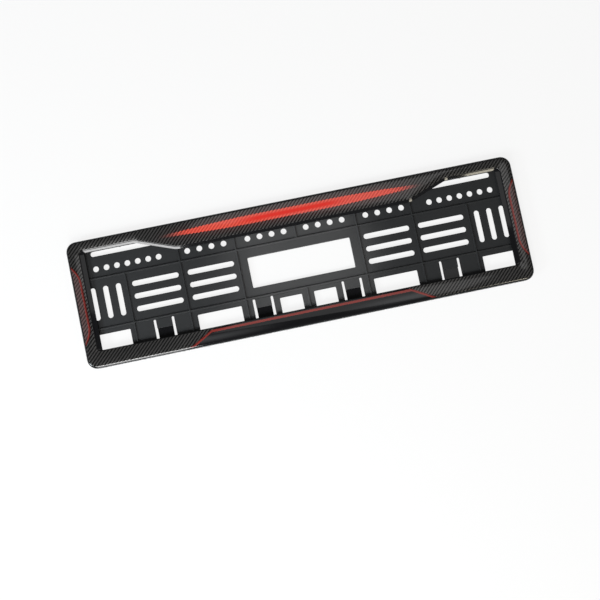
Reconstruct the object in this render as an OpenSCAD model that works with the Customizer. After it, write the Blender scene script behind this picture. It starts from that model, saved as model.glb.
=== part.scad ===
// Number plate holder for a long single-row plate: a ribbed back plate and a clip-on front frame.
// The holder lies on its back. X runs along its length, Y up the plate and Z out of the front.

/* [Front frame outline] */
// Length of the frame
frame_l = 530; // [500:1:560]
// Height of the frame
frame_w = 149.2; // [144:0.1:170]
// Depth from the surface behind to the outer rim of the face
frame_d = 13; // [12.5:0.1:18]
// Radius of the four outer corners
corner_r = 12; // [8:0.5:20]
// Radius of the rounded outer edge of the face
edge_r = 3.2; // [1:0.1:4]

/* [Front frame bands] */
// Width of the band at each end
end_band = 14.7; // [11:0.1:20]
// Width of the bottom band
bottom_band = 19.8; // [16:0.1:26]
// Width of the narrow outer lengths of the top band
top_band_narrow = 12.1; // [11:0.1:18]
// Width of the wide middle length of the top band
top_band_wide = 29.3; // [20:0.1:34]
// Half the length of the wide middle
wide_half = 138.8; // [90:0.1:150]
// Length over which the wide middle runs out into the narrow band
slope_l = 46.4; // [30:0.1:60]
// Radius of the bends where the top band changes width
slope_r = 22; // [8:1:40]
// Radius of the lower corners of the opening
low_corner_r = 3.4; // [2.5:0.1:8]
// Radius of the upper corners of the opening
high_corner_r = 6; // [4:0.1:10]

/* [Front frame section] */
// Wall of the skirt round the back plate
skirt_t = 2; // [1.5:0.1:3]
// How far the skirt stays off the surface behind
skirt_lift = 1; // [0.5:0.1:2]
// Width of the shoulder that rests on the back plate
shoulder_w = 1.6; // [1:0.1:3]
// Thickness of the face
face_t = 2.4; // [1.6:0.1:2.6]
// How much lower the face is at the opening than at the outer rim
face_drop = 1; // [0:0.1:1.6]
// How far the face swells between its two edges
face_crown = 0.25; // [0:0.05:0.4]
// Radius of the rounded edge round the opening
lip_r = 1.2; // [0.5:0.1:2]
// Thickness of the lip that hangs round the opening
lip_t = 1.2; // [1:0.1:2]
// Thickness of the lip's lower edge
lip_edge = 1; // [0.6:0.1:1.6]
// Lean of the lip at both ends of the opening
lean_end = 4.9; // [0.4:0.1:6]
// Lean of the lip along the top of the opening
lean_top = 2.3; // [0.4:0.1:4]
// Lean of the lip along the bottom of the opening
lean_bottom = 0.4; // [0.2:0.1:2]

/* [Back plate] */
// Thickness of the panel
panel_t = 2.2; // [1.8:0.1:2.6]
// Height of the ribs behind the panel
rib_h = 2.8; // [2.4:0.1:3.4]
// Thickness of the ribs behind the panel
rib_t = 1.6; // [1:0.1:2.4]
// Wall of the rim round the panel
rim_t = 1.8; // [1.2:0.1:2.6]
// Gap between the back plate and the skirt
plate_gap = 0.3; // [0.2:0.05:0.6]
// Height of the beads on the front of the panel
bead_h = 1.6; // [1:0.1:2]
// Width of a bead at its foot
bead_w = 2.2; // [2:0.1:4]
// Width of a bead at its top
bead_top_w = 1.4; // [1:0.1:2]
// Gap between the frame's shoulder and the ends of the beads
bead_end_gap = 2; // [1:0.5:6]
// Height of the panel's middle line above the middle of the frame
layout_y = -0.6; // [-2:0.1:2]

/* [Number plate pocket] */
// How far the frame covers the upper and lower edges of the number plate
number_cover = 2.7; // [1:0.1:4]
// Gap below the number plate
number_gap = 0.3; // [0.2:0.1:1]
// Room between the beads and the lip for the number plate
pocket_h = 2.2; // [1.2:0.1:2.6]

/* [Beads] */
// Distance of the first upright bead from the middle
bead_x1 = 72.3; // [70:0.1:73]
// Distance of the second upright bead from the middle
bead_x2 = 138.7; // [137:0.1:140]
// Distance of the third upright bead from the middle
bead_x3 = 204.3; // [203.6:0.1:205]
// Distance of the two long beads from the panel's middle line
bead_y = 29.3; // [27:0.1:31]

/* [Screw holes] */
// Diameter of the screw holes
hole_d = 6.8; // [4:0.1:7]
// Height of the row of holes above the upper long bead
hole_rise = 10.8; // [8:0.1:12]
// Middle of the inner row of four holes
inner_holes_x = 34.9; // [33:0.1:36]
// Middle of the outer row of four holes
outer_holes_x = 106.6; // [104:0.1:108]
// Pitch of the rows of four holes
four_pitch = 14.4; // [12:0.1:15]
// Middle of the end row of seven holes
end_holes_x = 199; // [198:0.1:199.4]
// Pitch of the row of seven holes
seven_pitch = 12.3; // [10:0.1:12.5]

/* [Slots] */
// Width of the screw slots
slot_w = 6.3; // [4:0.1:8]
// Length of the lying slots
lying_slot_l = 55; // [40:0.5:57]
// Middle of the inner groups of lying slots
inner_slots_x = 105.1; // [104.5:0.1:106]
// Middle of the outer groups of lying slots
outer_slots_x = 170.8; // [170:0.1:172]
// Length of the standing slots
standing_slot_l = 38.2; // [30:0.1:44]
// Middle of the group of standing slots
standing_slots_x = 229.3; // [228:0.1:231]
// Pitch of the slots in a group
slot_pitch = 15; // [12:0.1:15.5]
// Width of the long slot near each upper corner
long_slot_w = 6.1; // [4:0.1:7]
// Length of the long slot
long_slot_l = 80; // [50:1:84]
// Distance of the long slot from the top of the frame
long_slot_inset = 17.3; // [16:0.1:19]

/* [Windows] */
// Half the length of the middle window
middle_window_half = 61.2; // [50:0.1:64]
// Height of the middle window
middle_window_w = 36.2; // [28:0.1:40]
// Drop from the lower long bead to the upper edge of the lower windows
window_drop = 6.6; // [4:0.1:10]
// How far the lower windows run on under the bottom band
window_under = 3.2; // [2:0.1:6]
// Middle of the smallest windows
small_window_x = 20.3; // [19:0.1:22]
// Length of the smallest windows
small_window_l = 26.2; // [20:0.1:28]
// Middle of the windows between the tongues
wide_window_x = 105; // [104:0.1:106]
// Length of the windows between the tongues
wide_window_l = 52; // [40:0.5:56]
// Middle of the end windows
end_window_x = 230.2; // [229:0.1:232]
// Length of the end windows
end_window_l = 40; // [30:0.1:42]
// Radius of the windows' corners
window_r = 1.2; // [0.6:0.1:3]

/* [Tongues and catches] */
// Middle of the inner tongues
inner_tongue_x = 53; // [52.5:0.1:54]
// Middle of the outer tongues
outer_tongue_x = 170.3; // [169:0.1:171]
// Width of a tongue
tongue_w = 18.4; // [14:0.1:19]
// Width of the slots beside a tongue
tongue_slot_w = 2.9; // [2.2:0.1:3.2]
// Drop from the lower long bead to the root of the tongues
tongue_drop = 2; // [1.6:0.1:4]
// Length of the tongues
tongue_l = 10.6; // [8:0.1:14]
// How far a catch tab reaches behind the tongue's tip
tab_reach = 2; // [1:0.1:3]
// Thickness of the catch tabs
tab_t = 1.6; // [1.2:0.1:2]
// Thickness of the legs that carry the tabs and hooks
leg_t = 2; // [1.4:0.1:2.4]
// Running gap round the tabs, hooks and legs
snap_gap = 0.2; // [0.1:0.05:0.4]
// Distance of the snap hooks from the top of the frame
hook_inset = 7; // [6.5:0.1:8]
// Width of the snap hooks
hook_w = 14; // [8:0.5:20]
// How far the barb of a snap hook stands out
barb = 0.9; // [0.5:0.1:1.2]

/* [Hidden] */

plate_colour = [0.17, 0.175, 0.185];
frame_colour = [0.035, 0.035, 0.04];

corner_steps = 8;
bend_steps = 5;
edge_steps = 5;
lip_steps = 3;
crown_steps = 4;
round_fn = 48;
cut = 1;
fuse = 0.5;
least_r = 0.5;

// Levels, from the surface behind upwards
panel_z = rib_h + panel_t;
bead_z = panel_z + bead_h;
lip_z = bead_z + pocket_h;
lip_top_z = frame_d - face_drop;

// The opening of the frame at the level of its face
opening_half = frame_l / 2 - end_band;
opening_low = bottom_band - frame_w / 2;
opening_high = frame_w / 2 - top_band_narrow;
opening_middle = frame_w / 2 - top_band_wide;
slope_a = atan((top_band_wide - top_band_narrow) / slope_l);

// The back plate fits inside the skirt
plate_l = frame_l - 2 * (skirt_t + plate_gap);
plate_w = frame_w - 2 * (skirt_t + plate_gap);
plate_r = corner_r - skirt_t - plate_gap;
shoulder_in = skirt_t + shoulder_w;

// Heights on the panel, up from the middle of the frame
low_bead_y = layout_y - bead_y;
high_bead_y = layout_y + bead_y;
hole_y = high_bead_y + hole_rise;
long_slot_y = frame_w / 2 - long_slot_inset;
window_high = low_bead_y - window_drop;
window_low = opening_low - window_under;
tongue_root = low_bead_y - tongue_drop;
tongue_tip = tongue_root - tongue_l;

// The number plate stands on the legs of the catch tabs, with its lower edge under the bottom lip
leg_front = opening_low + lean_bottom - number_cover - number_gap;
leg_back = leg_front - leg_t;

// Tongues, catch tabs and snap hooks
tongue_xs = [-outer_tongue_x, -inner_tongue_x, inner_tongue_x, outer_tongue_x];
tab_top = rib_h - snap_gap;
tab_w = tongue_w - 2 * snap_gap;
catch_low = leg_back - 3 * snap_gap;
hook_y = frame_w / 2 - hook_inset;

// A direction and the normal on its left hand
function along(a) = [cos(a), sin(a)];
function left_of(a) = [-sin(a), cos(a)];

// A corner between two edges that have moved to their left by d0 and d1
function moved_corner(v, a0, a1, d0, d1) =
    let (n0 = left_of(a0), n1 = left_of(a1), c = n0 * n1, k = 1 - c * c)
    v + n0 * (d0 - c * d1) / k + n1 * (d1 - c * d0) / k;

// The points round a corner whose heading turns from a0 to a1 on a radius
function bend(v, a0, a1, r, steps) =
    let (turn = a1 - a0, side = sign(turn), middle = v - r * tan(abs(turn) / 2) * along(a0) + side * r * left_of(a0))
    [for (i = [0:steps]) middle - side * r * left_of(a0 + turn * i / steps)];

// The corners of the opening, anticlockwise: place, heading before and after, radius and kind
corners = [
    [[-opening_half, opening_low], -90, 0, low_corner_r, "low left"],
    [[opening_half, opening_low], 0, 90, low_corner_r, "low right"],
    [[opening_half, opening_high], 90, 180, high_corner_r, "high right"],
    [[wide_half + slope_l, opening_high], 180, 180 + slope_a, slope_r, "slope"],
    [[wide_half, opening_middle], 180 + slope_a, 180, slope_r, "slope"],
    [[-wide_half, opening_middle], 180, 180 - slope_a, slope_r, "slope"],
    [[-wide_half - slope_l, opening_high], 180 - slope_a, 180, slope_r, "slope"],
    [[-opening_half, opening_high], 180, 270, high_corner_r, "high left"]
];

// How far an edge moves inwards, by its heading: the ends, the bottom or the top
function inset_of(a, d_end, d_low, d_top) = abs(cos(a)) < 0.01 ? d_end : a == 0 ? d_low : d_top;

function steps_of(c) = c[4] == "slope" ? bend_steps : corner_steps;

// The points of one corner of the opening after its edges have moved inwards
function opening_corner(c, d_end, d_low, d_top) =
    let (d0 = inset_of(c[1], d_end, d_low, d_top), d1 = inset_of(c[2], d_end, d_low, d_top))
    let (side = sign(c[2] - c[1]), r = max(least_r, c[3] - side * (d0 + d1) / 2))
    bend(moved_corner(c[0], c[1], c[2], d0, d1), c[1], c[2], r, steps_of(c));

// The points of the outer edge that face one corner of the opening
function outer_corner(c, s) =
    c[4] == "slope"
        ? [for (p = opening_corner(c, 0, 0, 0)) [p.x, frame_w / 2 - s]]
        : bend([sign(c[0].x) * (frame_l / 2 - s), sign(c[0].y) * (frame_w / 2 - s)],
               c[1], c[2], max(least_r, corner_r - s), corner_steps);

function lifted(ring, z) = [for (p = ring) [p.x, p.y, z]];
function opening_ring(d_end, d_low, d_top, z) =
    lifted([for (c = corners) each opening_corner(c, d_end, d_low, d_top)], z);
function even_ring(d, z) = opening_ring(d, d, d, z);
function outer_ring(s, z) = lifted([for (c = corners) each outer_corner(c, s)], z);

// The face between its outer rim and the rounded edge of the opening, swelling a little
face_from = outer_ring(edge_r, frame_d);
face_to = even_ring(-lip_r, lip_top_z);
function face_ring(t) =
    [for (i = [0:len(face_from) - 1])
        face_from[i] * (1 - t) + face_to[i] * t + [0, 0, 4 * face_crown * t * (1 - t)]];

// The section of the frame as rings, from the foot of the skirt over the face and back underneath
frame_rings = [
    outer_ring(0, skirt_lift),
    for (i = [0:edge_steps])
        let (a = 90 * i / edge_steps)
        outer_ring(edge_r * (1 - cos(a)), frame_d - edge_r * (1 - sin(a))),
    for (i = [1:crown_steps - 1]) face_ring(i / crown_steps),
    for (i = [0:lip_steps])
        let (a = 90 * i / lip_steps)
        even_ring(-lip_r * (1 - sin(a)), lip_top_z - lip_r * (1 - cos(a))),
    opening_ring(lean_end, lean_bottom, lean_top, lip_z + lip_edge),
    opening_ring(lean_end, lean_bottom, lean_top, lip_z),
    even_ring(-lip_t, lip_z),
    even_ring(-lip_t, lip_top_z - face_t),
    outer_ring(shoulder_in, frame_d - face_t),
    outer_ring(shoulder_in, panel_z),
    outer_ring(skirt_t, panel_z),
    outer_ring(skirt_t, skirt_lift)
];

// A closed hoop through rings that have as many points each
module hoop(rings) {
    m = len(rings);
    n = len(rings[0]);
    polyhedron(
        points = [for (ring = rings) each ring],
        faces = [
            for (i = [0:m - 1], j = [0:n - 1])
                let (a = i * n + j, b = i * n + (j + 1) % n)
                let (c = (i + 1) % m * n + (j + 1) % n, d = (i + 1) % m * n + j)
                each [[a, d, c], [a, c, b]]
        ]
    );
}

// A length of section, drawn as y and z, centred on x
module bar(x, w, section) {
    translate([x - w / 2, 0, 0])
        rotate([90, 0, 90])
            linear_extrude(w)
                polygon(section);
}

// A leg from the bottom band that ends in a tab behind a tongue's tip
module catch_tab(x) {
    tip = tongue_tip + tab_reach;
    bar(x, tab_w, [
        [leg_back, lip_top_z - fuse],
        [leg_back, tab_top - tab_t],
        [tip - tab_t / 2, tab_top - tab_t],
        [tip, tab_top - tab_t / 2],
        [tip, tab_top],
        [leg_front, tab_top],
        [leg_front, lip_top_z - fuse]
    ]);
}

// A leg from the top band that ends in a barb behind the panel
module snap_hook(x) {
    foot = tab_top - tab_t;
    bar(x, hook_w, [
        [hook_y - leg_t, lip_top_z - fuse],
        [hook_y - leg_t, foot],
        [hook_y - leg_t / 2, foot],
        [hook_y + barb, tab_top - tab_t / 4],
        [hook_y + barb, tab_top],
        [hook_y, tab_top],
        [hook_y, lip_top_z - fuse]
    ]);
}

module front_frame() {
    color(frame_colour) {
        hoop(frame_rings);
        for (x = tongue_xs) {
            catch_tab(x);
            snap_hook(x);
        }
    }
}

// A rectangle with true round corners
module round_rectangle(l, w, r) {
    square([l - 2 * r, w], center = true);
    square([l, w - 2 * r], center = true);
    for (x = [-1, 1], y = [-1, 1])
        translate([x * (l / 2 - r), y * (w / 2 - r)])
            circle(r, $fn = round_fn);
}

// A slot with round ends, cut right through the plate
module slot(x, y, l, w, turned = 0) {
    translate([x, y, -cut])
        rotate(turned)
            linear_extrude(bead_z + 2 * cut) {
                square([l - w, w], center = true);
                for (side = [-1, 1])
                    translate([side * (l - w) / 2, 0])
                        circle(d = w, $fn = round_fn);
            }
}

module window(x, low, high, l) {
    translate([x, (low + high) / 2, -cut])
        linear_extrude(bead_z + 2 * cut)
            round_rectangle(l, high - low, window_r);
}

module hole(x, y) {
    translate([x, y, -cut])
        cylinder(h = bead_z + 2 * cut, d = hole_d, $fn = round_fn);
}

// A bead from one end to the other, with sides that lean in towards the top
module bead(from, to) {
    run = to - from;
    translate([from.x, from.y, panel_z])
        rotate(atan2(run.y, run.x))
            rotate([90, 0, 90])
                linear_extrude(norm(run))
                    polygon([[-bead_w / 2, -fuse], [bead_w / 2, -fuse], [bead_w / 2, 0],
                             [bead_top_w / 2, bead_h], [-bead_top_w / 2, bead_h], [-bead_w / 2, 0]]);
}

// A rib behind the panel, along the same line as a bead
module rib(from, to) {
    run = to - from;
    translate([from.x, from.y, 0])
        rotate(atan2(run.y, run.x))
            translate([0, -rib_t / 2, 0])
                cube([norm(run), rib_t, rib_h + fuse]);
}

// The lines of the beads and ribs: two along the plate, and upright ones across it
bead_long = frame_l / 2 - shoulder_in - bead_end_gap;
bead_high = frame_w / 2 - shoulder_in - bead_end_gap;
bead_lines = [
    for (y = [low_bead_y, high_bead_y]) [[-bead_long, y], [bead_long, y]],
    for (x = [-bead_x3, -bead_x2, -bead_x1, bead_x1, bead_x2, bead_x3]) [[x, -bead_high], [x, bead_high]],
    [[0, -bead_high], [0, low_bead_y]],
    [[0, high_bead_y], [0, bead_high]]
];

module panel_and_rim() {
    translate([0, 0, rib_h])
        linear_extrude(panel_t)
            round_rectangle(plate_l, plate_w, plate_r);
    difference() {
        linear_extrude(rib_h + fuse)
            round_rectangle(plate_l, plate_w, plate_r);
        translate([0, 0, -cut])
            linear_extrude(rib_h + fuse + 2 * cut)
                round_rectangle(plate_l - 2 * rim_t, plate_w - 2 * rim_t, plate_r - rim_t);
    }
}

// The wall behind the edge of the middle window
module window_collar() {
    l = 2 * middle_window_half;
    translate([0, layout_y, 0])
        linear_extrude(rib_h + fuse)
            round_rectangle(l + 2 * rib_t, middle_window_w + 2 * rib_t, window_r + rib_t);
}

module screw_holes() {
    for (side = [-1, 1]) {
        for (x = [inner_holes_x, outer_holes_x], i = [-1.5:1.5])
            hole(side * (x + i * four_pitch), hole_y);
        for (i = [-3:3])
            hole(side * (end_holes_x + i * seven_pitch), hole_y);
    }
}

module screw_slots() {
    for (side = [-1, 1]) {
        for (x = [inner_slots_x, outer_slots_x], i = [-1:1])
            slot(side * x, layout_y + i * slot_pitch, lying_slot_l, slot_w);
        for (i = [-1:1])
            slot(side * (standing_slots_x + i * slot_pitch), layout_y, standing_slot_l, slot_w, 90);
        slot(side * end_holes_x, long_slot_y, long_slot_l, long_slot_w);
    }
}

module windows() {
    window(0, layout_y - middle_window_w / 2, layout_y + middle_window_w / 2, 2 * middle_window_half);
    for (side = [-1, 1]) {
        window(side * small_window_x, window_low, window_high, small_window_l);
        window(side * wide_window_x, window_low, window_high, wide_window_l);
        window(side * end_window_x, window_low, window_high, end_window_l);
    }
}

// The opening round a tongue: a slot on each side of it and the gap below its tip
module tongue_opening(x) {
    reach = tongue_w / 2 + tongue_slot_w / 2;
    span = tongue_w + 2 * tongue_slot_w;
    for (side = [-1, 1])
        slot(x + side * reach, (tongue_root + catch_low) / 2, tongue_root - catch_low, tongue_slot_w, 90);
    translate([x - span / 2, catch_low, -cut])
        cube([span, tongue_tip - catch_low, bead_z + 2 * cut]);
}

// The hole in the panel that a snap hook passes through
module hook_opening(x) {
    room = 2 * snap_gap;
    translate([x - hook_w / 2 - room, hook_y - leg_t - room, -cut])
        cube([hook_w + 2 * room, leg_t + 2 * room, bead_z + 2 * cut]);
}

module base_plate() {
    color(plate_colour)
        difference() {
            union() {
                panel_and_rim();
                window_collar();
                for (l = bead_lines) {
                    bead(l[0], l[1]);
                    rib(l[0], l[1]);
                }
            }
            screw_holes();
            screw_slots();
            windows();
            for (x = tongue_xs) {
                tongue_opening(x);
                hook_opening(x);
            }
        }
}

base_plate();
front_frame();
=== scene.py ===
# Looks of the number plate holder: the matt back plate, the printed front frame, the floor, the lamps
# and the camera. Sizes are given in millimetres, unless a comment or a name says otherwise, and the pieces
# are made in metres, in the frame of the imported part: X runs along the holder, Y up the number plate and
# Z out of the front.

import math

import bpy
from mathutils import Euler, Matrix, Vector


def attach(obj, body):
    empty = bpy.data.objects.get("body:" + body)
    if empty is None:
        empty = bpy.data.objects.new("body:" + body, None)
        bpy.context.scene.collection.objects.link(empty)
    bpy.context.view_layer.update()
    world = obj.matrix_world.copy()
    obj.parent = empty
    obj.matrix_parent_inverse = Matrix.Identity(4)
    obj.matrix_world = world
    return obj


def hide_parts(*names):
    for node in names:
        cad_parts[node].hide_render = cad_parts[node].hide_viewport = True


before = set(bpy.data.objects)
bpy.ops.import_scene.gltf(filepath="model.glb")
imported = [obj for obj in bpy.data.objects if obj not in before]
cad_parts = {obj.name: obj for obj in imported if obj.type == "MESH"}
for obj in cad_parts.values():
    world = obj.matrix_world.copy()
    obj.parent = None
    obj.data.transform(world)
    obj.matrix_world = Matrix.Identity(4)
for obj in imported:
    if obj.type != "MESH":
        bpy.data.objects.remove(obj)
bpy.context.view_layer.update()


# Back plate. One moulding in matt charcoal plastic, with raised beads in front that carry the number plate
# and a rim and ribs behind. It is screwed to the car through its holes and slots.

MM = 0.001

PLATE_LENGTH = 525.4
PLATE_HEIGHT = 144.6
PLATE_CORNER = 9.7
PLATE_CORNER_STEPS = 10
PANEL_BACK = 2.8
PANEL_FRONT = 5.0
MIDDLE_Y = -0.6
RIM_WALL = 1.8
RIB_WALL = 1.6
BEAD_FOOT = 2.2
BEAD_TOP = 1.4
BEAD_HEIGHT = 1.6
BEAD_YS = (-29.9, 28.7)
BEAD_XS = (-138.7, -72.3, 72.3, 138.7)
END_BEAD_XS = (-204.3, 204.3)
BEAD_REACH_X = 259.4
BEAD_REACH_Y = 69.0
OVERLAP = 0.2
STRAIGHT_UP = 0.9
UPRIGHT_EDGE = 1.0


def choose(piece):
    """Selects one piece alone and makes it the active one."""
    bpy.ops.object.select_all(action="DESELECT")
    piece.select_set(True)
    bpy.context.view_layer.objects.active = piece


def pick(piece, kind, wanted):
    """Goes into edit mode with only those faces, edges or vertices selected that are wanted."""
    choose(piece)
    bpy.ops.object.mode_set(mode="EDIT")
    bpy.ops.mesh.select_mode(type=kind)
    bpy.ops.mesh.select_all(action="DESELECT")
    bpy.ops.object.mode_set(mode="OBJECT")
    mesh = piece.data
    for part in {"FACE": mesh.polygons, "EDGE": mesh.edges, "VERT": mesh.vertices}[kind]:
        part.select = wanted(part)
    bpy.ops.object.mode_set(mode="EDIT")


def pick_top(piece):
    """Selects the faces that look up."""
    pick(piece, "FACE", lambda face: face.normal.z > STRAIGHT_UP)


def pick_underside(piece):
    """Selects the faces that look down."""
    pick(piece, "FACE", lambda face: face.normal.z < -STRAIGHT_UP)


def block(middle, size):
    """A rectangular block, with its middle and its size in millimetres."""
    bpy.ops.object.select_all(action="DESELECT")
    bpy.ops.mesh.primitive_cube_add(size=1, location=Vector(middle) * MM)
    piece = bpy.context.object
    piece.scale = Vector(size) * MM
    bpy.ops.object.transform_apply(location=True, rotation=True, scale=True)
    return piece


def round_uprights(piece, radius, steps):
    """Rounds the upright edges of a block."""
    levels = [point.co.z for point in piece.data.vertices]

    def stands_up(edge):
        foot, top = edge.vertices
        return abs(levels[foot] - levels[top]) > UPRIGHT_EDGE * MM

    pick(piece, "EDGE", stands_up)
    bpy.ops.mesh.bevel(offset=radius * MM, segments=steps)
    bpy.ops.object.mode_set(mode="OBJECT")


def set_out(piece, places):
    """Copies a piece to each place, each copy with a mesh of its own, and joins the copies."""
    copies = []
    for across, up in places:
        copy = piece.copy()
        copy.data = piece.data.copy()
        copy.location = Vector((across, up, 0)) * MM
        bpy.context.collection.objects.link(copy)
        copies.append(copy)
    bpy.data.objects.remove(piece)
    choose(copies[0])
    if len(copies) > 1:
        for copy in copies:
            copy.select_set(True)
        bpy.ops.object.join()
    bpy.ops.object.transform_apply(location=True, rotation=True, scale=True)
    return bpy.context.object


def combine(piece, tool, operation):
    """Joins a second piece to the first, or cuts the first with it."""
    step = piece.modifiers.new("combine", "BOOLEAN")
    step.operation = operation
    step.solver = "EXACT"
    step.object = tool
    choose(piece)
    bpy.ops.object.modifier_apply(modifier=step.name)
    bpy.data.objects.remove(tool)


def bead(middle, length, lies_along_x):
    """A bead on the front of the panel, narrower at its top than at its foot."""
    size = (length, BEAD_FOOT) if lies_along_x else (BEAD_FOOT, length)
    height = BEAD_HEIGHT + OVERLAP
    piece = block((*middle, PANEL_FRONT - OVERLAP + height / 2), (*size, height))
    pick_top(piece)
    narrow = BEAD_TOP / BEAD_FOOT
    top = Vector((*middle, PANEL_FRONT + BEAD_HEIGHT)) * MM
    bpy.ops.transform.resize(value=(1, narrow, 1) if lies_along_x else (narrow, 1, 1), center_override=top)
    bpy.ops.object.mode_set(mode="OBJECT")
    return piece


def rib(middle, length, lies_along_x):
    """A rib behind the panel."""
    height = PANEL_BACK + OVERLAP
    size = (length, RIB_WALL) if lies_along_x else (RIB_WALL, length)
    return block((*middle, height / 2), (*size, height))


# The rim is what stays when the back of the block is hollowed
back_plate = block((0, 0, PANEL_FRONT / 2), (PLATE_LENGTH, PLATE_HEIGHT, PANEL_FRONT))
back_plate.name = "back_plate"
round_uprights(back_plate, PLATE_CORNER, PLATE_CORNER_STEPS)
pick_underside(back_plate)
bpy.ops.mesh.inset(thickness=RIM_WALL * MM)
bpy.ops.mesh.extrude_region_move(TRANSFORM_OT_translate={"value": (0, 0, PANEL_BACK * MM)})
bpy.ops.object.mode_set(mode="OBJECT")

# Beads in front and ribs behind follow the same lines: two along the plate, four upright ones from edge to
# edge, one near each end, and a short one above and below the middle window. The beads near the ends stop
# at the upper long bead, and the ribs behind them run on.
for raised, end_top in ((bead, BEAD_YS[1]), (rib, BEAD_REACH_Y)):
    lying = set_out(raised((0, 0), 2 * BEAD_REACH_X, True), [(0, up) for up in BEAD_YS])
    combine(back_plate, lying, "UNION")
    standing = set_out(raised((0, 0), 2 * BEAD_REACH_Y, False), [(across, 0) for across in BEAD_XS])
    combine(back_plate, standing, "UNION")
    at_ends = raised((0, (end_top - BEAD_REACH_Y) / 2), end_top + BEAD_REACH_Y, False)
    combine(back_plate, set_out(at_ends, [(across, 0) for across in END_BEAD_XS]), "UNION")
    for inner, outer in zip(BEAD_YS, (-BEAD_REACH_Y, BEAD_REACH_Y)):
        combine(back_plate, raised((0, (inner + outer) / 2), abs(outer - inner), False), "UNION")

# Each group of holes is given by its middle, its pitch and the steps from its middle to its holes, and each
# kind of low window by its middle and its length
WINDOW_LENGTH = 122.4
WINDOW_HEIGHT = 36.2
LOW_WINDOWS = ((20.3, 26.2), (105.0, 52.0), (230.2, 40.0))
LOW_WINDOW_FROM = -58.0
LOW_WINDOW_TO = -36.5
WINDOW_CORNER = 1.2
WINDOW_CORNER_STEPS = 5
HOLE_WIDTH = 6.8
HOLE_Y = 39.5
FOUR_STEPS = (-1.5, -0.5, 0.5, 1.5)
SEVEN_STEPS = (-3, -2, -1, 0, 1, 2, 3)
HOLE_GROUPS = ((34.9, 14.4, FOUR_STEPS), (106.6, 14.4, FOUR_STEPS), (199.0, 12.3, SEVEN_STEPS))
SLOT_WIDTH = 6.3
LYING_SLOT = 55.0
LYING_SLOT_XS = (105.1, 170.8)
STANDING_SLOT = 38.2
STANDING_SLOTS_X = 229.3
SLOT_STEPS = (-15.0, 0.0, 15.0)
LONG_SLOT = 80.0
LONG_SLOT_WIDTH = 6.1
LONG_SLOT_PLACE = (199.0, 57.3)
TONGUE_XS = (53.0, 170.3)
TONGUE_SLOT = 28.1
TONGUE_SLOT_WIDTH = 2.9
TONGUE_SLOT_FROM_MIDDLE = 10.65
TONGUE_SLOT_Y = -45.95
TONGUE_GAP = (24.2, 17.5)
TONGUE_GAP_Y = -51.25
HOOK_GAP = (14.8, 2.8)
HOOK_GAP_Y = 66.6
CUT_DEPTH = 16.0
ROUND_SIDES = 32
AT_MIDDLE = 0.01


def both_sides(places):
    """Places on the right and the same ones mirrored to the left."""
    return [(side * across, up) for side in (-1, 1) for across, up in places]


def slot_cutter(length, width, stands=False):
    """A round bar stretched to the length of a slot."""
    bpy.ops.object.select_all(action="DESELECT")
    bpy.ops.mesh.primitive_cylinder_add(vertices=ROUND_SIDES, radius=width / 2 * MM, depth=CUT_DEPTH * MM)
    piece = bpy.context.object
    direction = Vector((0, 1, 0)) if stands else Vector((1, 0, 0))
    for side in (-1, 1):
        pick(piece, "VERT", lambda point: direction.dot(point.co) * side > AT_MIDDLE * MM)
        bpy.ops.transform.translate(value=direction * side * (length - width) / 2 * MM)
        bpy.ops.object.mode_set(mode="OBJECT")
    return piece


def window_cutter(length, height, radius):
    """A block with rounded upright edges."""
    piece = block((0, 0, 0), (length, height, CUT_DEPTH))
    if radius:
        round_uprights(piece, radius, WINDOW_CORNER_STEPS)
    return piece


# The wall round the middle window stands behind it and is cut open with it
collar = window_cutter(WINDOW_LENGTH + 2 * RIB_WALL, WINDOW_HEIGHT + 2 * RIB_WALL, WINDOW_CORNER + RIB_WALL)
pick_top(collar)
bpy.ops.transform.translate(value=(0, 0, (PANEL_BACK + OVERLAP - CUT_DEPTH / 2) * MM))
bpy.ops.object.mode_set(mode="OBJECT")
pick_underside(collar)
bpy.ops.transform.translate(value=(0, 0, CUT_DEPTH / 2 * MM))
bpy.ops.object.mode_set(mode="OBJECT")
combine(back_plate, set_out(collar, [(0, MIDDLE_Y)]), "UNION")

hole_places = [(middle + pitch * step, HOLE_Y) for middle, pitch, steps in HOLE_GROUPS for step in steps]
lying_places = [(across, MIDDLE_Y + step) for across in LYING_SLOT_XS for step in SLOT_STEPS]
standing_places = [(STANDING_SLOTS_X + step, MIDDLE_Y) for step in SLOT_STEPS]
cutters = [
    set_out(window_cutter(WINDOW_LENGTH, WINDOW_HEIGHT, WINDOW_CORNER), [(0, MIDDLE_Y)]),
    set_out(slot_cutter(HOLE_WIDTH, HOLE_WIDTH), both_sides(hole_places)),
    set_out(slot_cutter(LYING_SLOT, SLOT_WIDTH), both_sides(lying_places)),
    set_out(slot_cutter(STANDING_SLOT, SLOT_WIDTH, stands=True), both_sides(standing_places)),
    set_out(slot_cutter(LONG_SLOT, LONG_SLOT_WIDTH), both_sides([LONG_SLOT_PLACE])),
    set_out(window_cutter(*TONGUE_GAP, 0), both_sides([(across, TONGUE_GAP_Y) for across in TONGUE_XS])),
    set_out(window_cutter(*HOOK_GAP, 0), both_sides([(across, HOOK_GAP_Y) for across in TONGUE_XS])),
]
for across, length in LOW_WINDOWS:
    window = window_cutter(length, LOW_WINDOW_TO - LOW_WINDOW_FROM, WINDOW_CORNER)
    cutters.append(set_out(window, both_sides([(across, (LOW_WINDOW_FROM + LOW_WINDOW_TO) / 2)])))
beside_tongues = [(across + side * TONGUE_SLOT_FROM_MIDDLE, TONGUE_SLOT_Y)
                  for across in TONGUE_XS for side in (-1, 1)]
tongue_cutter = slot_cutter(TONGUE_SLOT, TONGUE_SLOT_WIDTH, stands=True)
cutters.append(set_out(tongue_cutter, both_sides(beside_tongues)))
for cutter in cutters:
    combine(back_plate, cutter, "DIFFERENCE")

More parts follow.
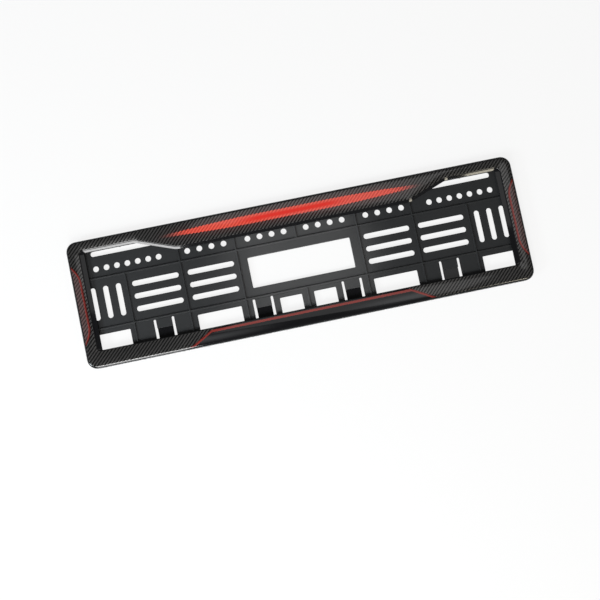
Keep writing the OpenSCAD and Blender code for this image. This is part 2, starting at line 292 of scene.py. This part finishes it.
EDGE_WIDTH = 0.22
EDGE_STEPS = 2
PLATE_CREASE = math.radians(32)


def shade_smoothly(piece, crease):
    """Shades a piece smoothly between the edges that turn by more than the crease."""
    choose(piece)
    bpy.ops.object.shade_smooth_by_angle(angle=crease)
    even = piece.modifiers.new("even", "WEIGHTED_NORMAL")
    even.keep_sharp = True
    bpy.ops.object.modifier_apply(modifier=even.name)


# The moulded edges are slightly round. Faces with holes in them are split into triangles first, because
# the bevel spoils them otherwise.
choose(back_plate)
flat = back_plate.modifiers.new("flat", "TRIANGULATE")
bpy.ops.object.modifier_apply(modifier=flat.name)
edge = back_plate.modifiers.new("edge", "BEVEL")
edge.width = EDGE_WIDTH * MM
edge.segments = EDGE_STEPS
edge.limit_method = "ANGLE"
edge.angle_limit = PLATE_CREASE
edge.use_clamp_overlap = False
bpy.ops.object.modifier_apply(modifier=edge.name)
shade_smoothly(back_plate, PLATE_CREASE)


class Signal:
    """A value in a material. Python's operators on it add Math nodes."""

    def __init__(self, tree, socket=None):
        self.tree = tree
        self.socket = socket

    def node(self, kind, settings, inputs, output=0):
        """Adds one node: its settings first, then the values and links of its inputs."""
        made = self.tree.nodes.new(kind)
        for name, value in settings.items():
            setattr(made, name, value)
        for name, value in inputs.items():
            if isinstance(value, Signal):
                self.tree.links.new(value.socket, made.inputs[name])
            else:
                made.inputs[name].default_value = value
        return Signal(self.tree, made.outputs[output]) if made.outputs else None

    def math(self, operation, *values):
        return self.node("ShaderNodeMath", {"operation": operation}, dict(enumerate(values)))

    def __add__(self, other):
        return self.math("ADD", self, other)

    def __sub__(self, other):
        return self.math("SUBTRACT", self, other)

    def __rsub__(self, other):
        return self.math("SUBTRACT", other, self)

    def __mul__(self, other):
        return self.math("MULTIPLY", self, other)

    def __truediv__(self, other):
        return self.math("DIVIDE", self, other)

    def __mod__(self, other):
        return self.math("FLOORED_MODULO", self, other)

    def __abs__(self):
        return self.math("ABSOLUTE", self)

    def __lt__(self, other):
        return self.math("LESS_THAN", self, other)

    __radd__ = __add__
    __rmul__ = __mul__

    def floor(self):
        return self.math("FLOOR", self)

    def most(self, other):
        return self.math("MAXIMUM", self, other)

    def rise(self, low, high):
        """0 below low, 1 above high, and a smooth step between them."""
        return self.node("ShaderNodeMapRange", {"interpolation_type": "SMOOTHSTEP"},
                         {"Value": self, "From Min": low, "From Max": high})

    def inside(self, half, soft):
        """1 within half of zero on both sides, with soft edges."""
        return 1 - abs(self).rise(half - soft, half + soft)

    def mix(self, without, with_it):
        """One colour where this is 0 and the other where it is 1."""
        return self.node("ShaderNodeMix", {"data_type": "RGBA"}, {0: self, 6: without, 7: with_it}, 2)

    def noise(self, per_metre, detail):
        """Cloudy noise over these coordinates, round one half."""
        inputs = {"Vector": self, "Scale": per_metre, "Detail": detail}
        return self.node("ShaderNodeTexNoise", {}, inputs, "Fac")

    def bump(self, strength, height):
        """Normals over a surface that is this uneven."""
        inputs = {"Strength": strength, "Distance": height, "Height": self}
        return self.node("ShaderNodeBump", {}, inputs, "Normal")

    def axis(self, name):
        """One axis of a vector."""
        return self.node("ShaderNodeSeparateXYZ", {}, {"Vector": self}, name)


def new_material(name):
    """An empty material, and the signal that its nodes start from."""
    material = bpy.data.materials.new(name)
    material.use_nodes = True
    material.node_tree.nodes.clear()
    return material, Signal(material.node_tree)


def finish_material(paint, inputs):
    """Joins what varies, and the plain values, to one Principled shader."""
    surface = paint.node("ShaderNodeBsdfPrincipled", {}, inputs, "BSDF")
    paint.node("ShaderNodeOutputMaterial", {}, {"Surface": surface})


def put_on(piece, material, node):
    """Gives a piece its material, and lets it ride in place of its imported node."""
    piece.data.materials.clear()
    piece.data.materials.append(material)
    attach(piece, "root")
    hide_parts(node)


# The colour is paler round the middle, a painted sheen of the lamps on the satin plastic, and the plastic
# is a little cloudy all over. The painted sheen reaches twice as far up and down as its radius says.
GRAINS_PER_METRE = 1600
GRAIN_DETAIL = 2
GRAIN_STRENGTH = 0.25
GRAIN_HEIGHT = 0.06
CLOUDS_PER_METRE = 20
CLOUD_DETAIL = 3
CLOUD_DEPTH = 0.5
PAINTED_SHEEN_MOST = 0.85
PAINTED_SHEEN_RADIUS = 30.0
PAINTED_SHEEN_GONE_RADIUS = 140.0
PAINTED_SHEEN_SHAPE = (1.0, 0.5, 0.0)
CHARCOAL = (0.0220, 0.0230, 0.0245, 1)
CHARCOAL_PAINTED_SHEEN_AND_CLOUD = (0.0680, 0.0675, 0.0690, 1)
PLATE_ROUGHNESS = 0.42
GRAIN_ROUGHNESS = 0.12

matt_plastic, paint = new_material("matt_charcoal_plastic")
place = paint.node("ShaderNodeTexCoord", {}, {}, "Object")
grain = place.noise(GRAINS_PER_METRE, GRAIN_DETAIL)
cloud = place.noise(CLOUDS_PER_METRE, CLOUD_DETAIL)
flattened = paint.node("ShaderNodeVectorMath", {"operation": "MULTIPLY"}, {0: place, 1: PAINTED_SHEEN_SHAPE})
from_painted_sheen_middle = paint.node("ShaderNodeVectorMath", {"operation": "LENGTH"}, {0: flattened}, "Value")
# Painted sheen: the colour pales towards the middle of the plate
painted_sheen_round_middle = 1 - from_painted_sheen_middle.rise(PAINTED_SHEEN_RADIUS * MM, PAINTED_SHEEN_GONE_RADIUS * MM)
painted_sheen_and_clouds = painted_sheen_round_middle * PAINTED_SHEEN_MOST + (cloud - 0.5) * CLOUD_DEPTH
finish_material(paint, {"Base Color": painted_sheen_and_clouds.rise(0.0, 1.0).mix(CHARCOAL, CHARCOAL_PAINTED_SHEEN_AND_CLOUD),
                        "Roughness": grain * GRAIN_ROUGHNESS + PLATE_ROUGHNESS, "Specular IOR Level": 0.35,
                        "Normal": grain.bump(GRAIN_STRENGTH, GRAIN_HEIGHT * MM)})
put_on(back_plate, matt_plastic, "base_plate")


# Front frame. One black moulding that clips over the back plate, printed on its face with a twill weave,
# red stripes and a black field, under clear lacquer. Its lip, its skirt and its catches stay plain black.

SAME_POINT = 0.002
FRAME_CREASE = math.radians(35)

packed_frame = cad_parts["front_frame"]
front_frame = bpy.data.objects.new("front_frame_shell", packed_frame.data.copy())
bpy.context.collection.objects.link(front_frame)
choose(front_frame)
bpy.ops.object.mode_set(mode="EDIT")
bpy.ops.mesh.select_all(action="SELECT")
bpy.ops.mesh.remove_doubles(threshold=SAME_POINT * MM)
bpy.ops.object.mode_set(mode="OBJECT")
bpy.ops.mesh.customdata_custom_splitnormals_clear()
shade_smoothly(front_frame, FRAME_CREASE)

printed_gloss, paint = new_material("printed_gloss_black")
place = paint.node("ShaderNodeTexCoord", {}, {}, "Object")
in_mm = paint.node("ShaderNodeVectorMath", {"operation": "SCALE"}, {"Vector": place, "Scale": 1 / MM})
x = in_mm.axis("X")
y = in_mm.axis("Y")
z = in_mm.axis("Z")
from_middle = abs(x)

# The weave is a two-over-two twill: each tow passes over two and under two, one further on in the next row.
# A tow is darker towards its sides, and the tows that lie across shine much less.
TOW = 1.103
TWILL_REPEAT = 4.0
TOW_SIDES = 0.7
LYING_SHINE = 0.08
WEAVE_DARK = (0.006, 0.006, 0.0065, 1)
WEAVE_LIGHT = (0.255, 0.247, 0.243, 1)
WEAVE_METAL = 0.93
WEAVE_MIDDLE = 0.4

column = (x / TOW).floor()
row = (y / TOW).floor()
upright_on_top = ((column - row) % TWILL_REPEAT) < TWILL_REPEAT / 2
across_upright = (x / TOW - column) * 2 - 1
across_lying = (y / TOW - row) * 2 - 1
upright_shine = 1 - across_upright * across_upright * TOW_SIDES
lying_shine = 1 - across_lying * across_lying * TOW_SIDES
weave = upright_on_top * upright_shine + (1 - upright_on_top) * lying_shine * LYING_SHINE
frayed = (weave - WEAVE_MIDDLE) * 2.0

# The red stripe of the upper band narrows and fades at both ends. Its edges follow the tows a little, a
# faint red haze lies round it, and its core is a deeper red in the middle.
STRIPE_Y = 60.2
STRIPE_HALF = 5.2
STRIPE_END_HALF = 2.0
STRIPE_NARROWS_X = 45.0
STRIPE_FULL_X = 95.0
STRIPE_GONE_X = 172.0
STRIPE_FRAY = 0.25
STRIPE_EDGE = (-1.3, 0.7)
STRIPE_COVER = 1.25
STRIPE_COVER_ON_TOWS = 0.25
STRIPE_COVER_RANGE = (0.05, 0.95)
HAZE = 0.10
HAZE_EDGE = (-1.0, 9.0)
CORE_HALF = 2.4
CORE_SOFT = 1.6
CORE_FULL_X = 38.0
CORE_GONE_X = 75.0
STRIPE_RED_DARK = (0.60, 0.052, 0.036, 1)
STRIPE_RED = (0.94, 0.135, 0.092, 1)
STRIPE_CORE_RED = (0.76, 0.014, 0.003, 1)

before_end = 1 - from_middle.rise(STRIPE_FULL_X, STRIPE_GONE_X)
off_stripe = y - STRIPE_Y
narrowed = from_middle.rise(STRIPE_NARROWS_X, STRIPE_GONE_X) * (STRIPE_HALF - STRIPE_END_HALF)
beyond_stripe = abs(off_stripe) - STRIPE_HALF + narrowed
stripe_strength = (1 - (beyond_stripe - frayed * STRIPE_FRAY).rise(*STRIPE_EDGE)) * before_end
haze = (1 - beyond_stripe.rise(*HAZE_EDGE)) * before_end * HAZE
stripe_cover = stripe_strength * STRIPE_COVER + stripe_strength * frayed * STRIPE_COVER_ON_TOWS
stripe = stripe_cover.rise(*STRIPE_COVER_RANGE).most(haze)
core = off_stripe.inside(CORE_HALF, CORE_SOFT) * (1 - from_middle.rise(CORE_FULL_X, CORE_GONE_X))
stripe_red = core.mix(weave.mix(STRIPE_RED_DARK, STRIPE_RED), STRIPE_CORE_RED)
colour = stripe.mix(weave.mix(WEAVE_DARK, WEAVE_LIGHT), stripe_red)

# The lower band has a black field under a red line that runs down to the edge at both ends. A grey wedge of
# painted reflection widens towards the ends of the field.
FIELD_LINE_Y = -58.6
FIELD_CORNER_X = 118.8
FIELD_SLANT = (0.494, 0.869)
FIELD_LINE_HALF = 1.35
FIELD_UNDER_LINE = 0.5
FIELD_TOP_Y = -50.0
LINE_SOFT = 0.3
LINE_RED = (0.24, 0.034, 0.028, 1)
GLOSS_BLACK = (0.007, 0.007, 0.008, 1)
PAINTED_REFLECTION_GREY = (0.044, 0.044, 0.046, 1)
PAINTED_REFLECTION_Y = -66.5
PAINTED_REFLECTION_HALF = 2.8
PAINTED_REFLECTION_FROM_X = 20.0
PAINTED_REFLECTION_FULL_X = 125.0

above_line = y - FIELD_LINE_Y
beyond_slant = (from_middle - FIELD_CORNER_X) * FIELD_SLANT[0] + above_line * FIELD_SLANT[1]
in_lower_band = y < FIELD_TOP_Y
in_field = (beyond_slant < FIELD_UNDER_LINE) * in_lower_band
# Painted reflection: a grey wedge in the gloss black field
painted_reflection_wedge = (y - PAINTED_REFLECTION_Y).inside(PAINTED_REFLECTION_HALF, PAINTED_REFLECTION_HALF) * from_middle.rise(PAINTED_REFLECTION_FROM_X, PAINTED_REFLECTION_FULL_X)
colour = in_field.mix(colour, painted_reflection_wedge.mix(GLOSS_BLACK, PAINTED_REFLECTION_GREY))
field_line = above_line.most(beyond_slant).inside(FIELD_LINE_HALF, LINE_SOFT) * in_lower_band
colour = field_line.mix(colour, LINE_RED)

# A red line along each end bends out to the outer edge. The weave beyond it is a dull red.
SIDE_LINE_X = 254.9
SIDE_LINE_STRAIGHT = 25.0
SIDE_LINE_BEND = 0.019
SIDE_LINE_HALF = 1.2
SIDE_LINE_FRAY = 0.2
SIDE_FIELD_SOFT = 0.2
SIDE_FIELD_DARK = (0.030, 0.019, 0.018, 1)
SIDE_FIELD = (0.150, 0.098, 0.096, 1)

past_straight = (abs(y) - SIDE_LINE_STRAIGHT).most(0.0)
bent_out = past_straight * past_straight * SIDE_LINE_BEND
off_side_line = from_middle - SIDE_LINE_X - bent_out + frayed * SIDE_LINE_FRAY
in_side_field = off_side_line.rise(-SIDE_FIELD_SOFT, SIDE_FIELD_SOFT)
colour = in_side_field.mix(colour, weave.mix(SIDE_FIELD_DARK, SIDE_FIELD))
colour = off_side_line.inside(SIDE_LINE_HALF, LINE_SOFT).mix(colour, LINE_RED)

# The print ends where the face turns down into its edges. The face is faintly wavy under its lacquer.
PRINT_LEVEL = 11.88
PRINT_LEVEL_SOFT = 0.1
PRINT_FACING = (0.945, 0.985)
RIPPLES_PER_METRE = 40
RIPPLE_DETAIL = 2
RIPPLE_STRENGTH = 0.15
RIPPLE_HEIGHT = 0.2
PRINT_ROUGHNESS = 0.28
RIPPLE_ROUGHNESS = 0.05

facing_up = paint.node("ShaderNodeTexCoord", {}, {}, "Normal").axis("Z")
on_top = z.rise(PRINT_LEVEL - PRINT_LEVEL_SOFT, PRINT_LEVEL + PRINT_LEVEL_SOFT)
printed = on_top * facing_up.rise(*PRINT_FACING)
colour = printed.mix(GLOSS_BLACK, colour)
bare_weave = printed * (1 - stripe) * (1 - in_field) * (1 - in_side_field)
ripple = place.noise(RIPPLES_PER_METRE, RIPPLE_DETAIL)
finish_material(paint, {"Base Color": colour, "Metallic": bare_weave * WEAVE_METAL,
                        "Roughness": ripple * RIPPLE_ROUGHNESS + PRINT_ROUGHNESS, "Specular IOR Level": 0.0,
                        "Coat Weight": 1.0, "Coat Roughness": 0.05,
                        "Normal": ripple.bump(RIPPLE_STRENGTH, RIPPLE_HEIGHT * MM)})
put_on(front_frame, printed_gloss, "front_frame")


# Floor. A plain white sheet that the holder lies on, eight metres wide.
# It keeps the holder's shadow, and reads as plain white where the light falls on it.

FLOOR_METRES = 8.0
FLOOR_GLOW = 0.86
SHEET_WHITE = (0.9, 0.9, 0.9, 1)

bpy.ops.object.select_all(action="DESELECT")
bpy.ops.mesh.primitive_plane_add(size=FLOOR_METRES)
floor = bpy.context.object
floor.name = "floor"
white_sheet, paint = new_material("white_sheet")
seen_by_camera = paint.node("ShaderNodeLightPath", {}, {}, "Is Camera Ray")
sheet = paint.node("ShaderNodeBsdfDiffuse", {}, {"Color": SHEET_WHITE}, "BSDF")
glow = paint.node("ShaderNodeEmission", {}, {"Color": (1, 1, 1, 1), "Strength": 1.0}, "Emission")
mixed = paint.node("ShaderNodeMixShader", {}, {0: seen_by_camera * FLOOR_GLOW, 1: sheet, 2: glow}, "Shader")
paint.node("ShaderNodeOutputMaterial", {}, {"Surface": mixed})
floor.data.materials.append(white_sheet)


# Lamps. A cool key lamp on the left, a wide soft box in front on the left with a tall one low before it, a
# narrow warm strip in front on the right, a weak wide box overhead, and a grey room that is darker above
# than round the walls and that the camera sees as white. Places and sizes are in metres.

COOL_LIGHT = (0.86, 0.96, 1.0)
WARM_LIGHT = (1.0, 0.93, 0.76)


def soft_box(name, place, aim, width, height, watts):
    """A rectangular lamp at one place that looks at another."""
    bpy.ops.object.select_all(action="DESELECT")
    bpy.ops.object.light_add(type="AREA", location=place)
    lamp = bpy.context.object
    lamp.name = name
    lamp.data.shape = "RECTANGLE"
    lamp.data.size = width
    lamp.data.size_y = height
    lamp.data.energy = watts
    lamp.rotation_euler = (lamp.location - Vector(aim)).to_track_quat("Z", "Y").to_euler()
    return lamp


left_lamp = soft_box("left_lamp", (-1.35, -0.55, 0.90), (0, 0, 0), 0.35, 0.35, 14.5)
left_lamp.data.color = COOL_LIGHT
soft_box("front_box", (-0.46, -0.78, 1.04), (-0.40, -0.07, 0), 0.48, 0.52, 10.4)
soft_box("low_front_box", (-0.42, -1.19, 0.57), (-0.36, -0.07, 0), 0.36, 0.70, 5.0)
right_strip = soft_box("right_strip", (0.62, -0.80, 1.00), (0.36, -0.07, 0), 0.16, 0.46, 2.2)
right_strip.data.color = WARM_LIGHT
soft_box("overhead_box", (0.17, 0.21, 1.25), (0.12, 0.08, 0), 0.66, 0.26, 0.34)

WALL_LEVEL = 0.30
CEILING_LEVEL = 0.05

room = bpy.data.worlds.new("grey_room")
room.use_nodes = True
room.node_tree.nodes.clear()
paint = Signal(room.node_tree)
seen_by_camera = paint.node("ShaderNodeLightPath", {}, {}, "Is Camera Ray")
upwards = paint.node("ShaderNodeTexCoord", {}, {}, "Generated").axis("Z")
grey = WALL_LEVEL - upwards * (WALL_LEVEL - CEILING_LEVEL)
level = grey + seen_by_camera * (1 - grey)
light = paint.node("ShaderNodeBackground", {}, {"Color": (1, 1, 1, 1), "Strength": level}, "Background")
paint.node("ShaderNodeOutputWorld", {}, {"Surface": light})
bpy.context.scene.world = room


# Camera. It stands where the photograph was taken from, in metres: above the holder, a little to the left
# and below its middle. The turn, in radians, is from the holder to the camera, so the camera itself is
# turned back by it.

CAMERA_PLACE = (-0.06343, -0.11951, 1.16802)
HOLDER_TURN = (-0.06537, 0.0451, 0.20254)

bpy.ops.object.select_all(action="DESELECT")
bpy.ops.object.camera_add(location=CAMERA_PLACE)
camera = bpy.context.object
camera.name = "photo_camera"
camera.rotation_euler = Euler(HOLDER_TURN, "XYZ").to_matrix().transposed().to_euler()
camera.data.lens = 60.0
camera.data.sensor_width = 36.0
bpy.context.scene.camera = camera
bpy.context.scene.view_settings.view_transform = "Standard"
